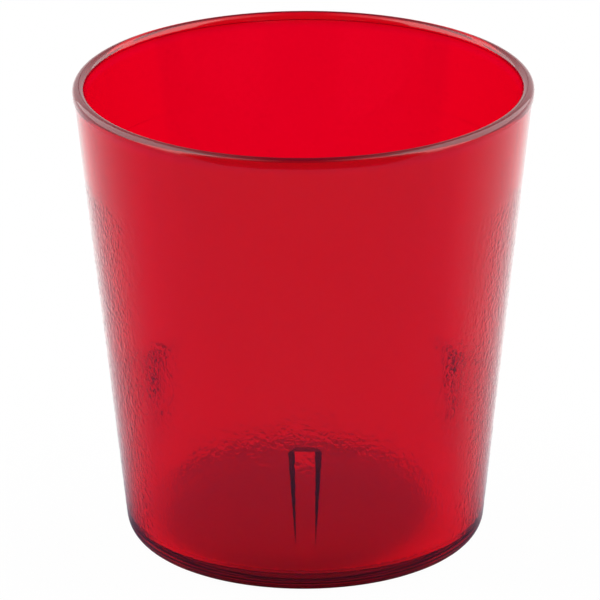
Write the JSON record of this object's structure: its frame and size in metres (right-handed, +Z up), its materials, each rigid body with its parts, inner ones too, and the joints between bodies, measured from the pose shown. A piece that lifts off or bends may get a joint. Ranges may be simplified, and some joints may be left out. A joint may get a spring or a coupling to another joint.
{
  "type": "tumbler",
  "caption": "Tapered one-piece tumbler of clear red plastic with a beaded rim, smooth lip band, pebbled grip zone, rounded heel and stacking lugs inside.",
  "frame": {"origin": "middle of the foot, on the table plane", "axes": "+Z up along the cup's axis, out of the mouth; one stacking lug lies towards -Y"},
  "size_m": [0.0794, 0.0794, 0.0824],
  "materials": {
    "clear_red_plastic": "clear ruby red styrene plastic, injection moulded: polished inside, rim and lip band, fine pebble grain on the grip zone"
  },
  "bodies": {
    "root": {"tumbler": "clear_red_plastic"}
  },
  "joints": []
}
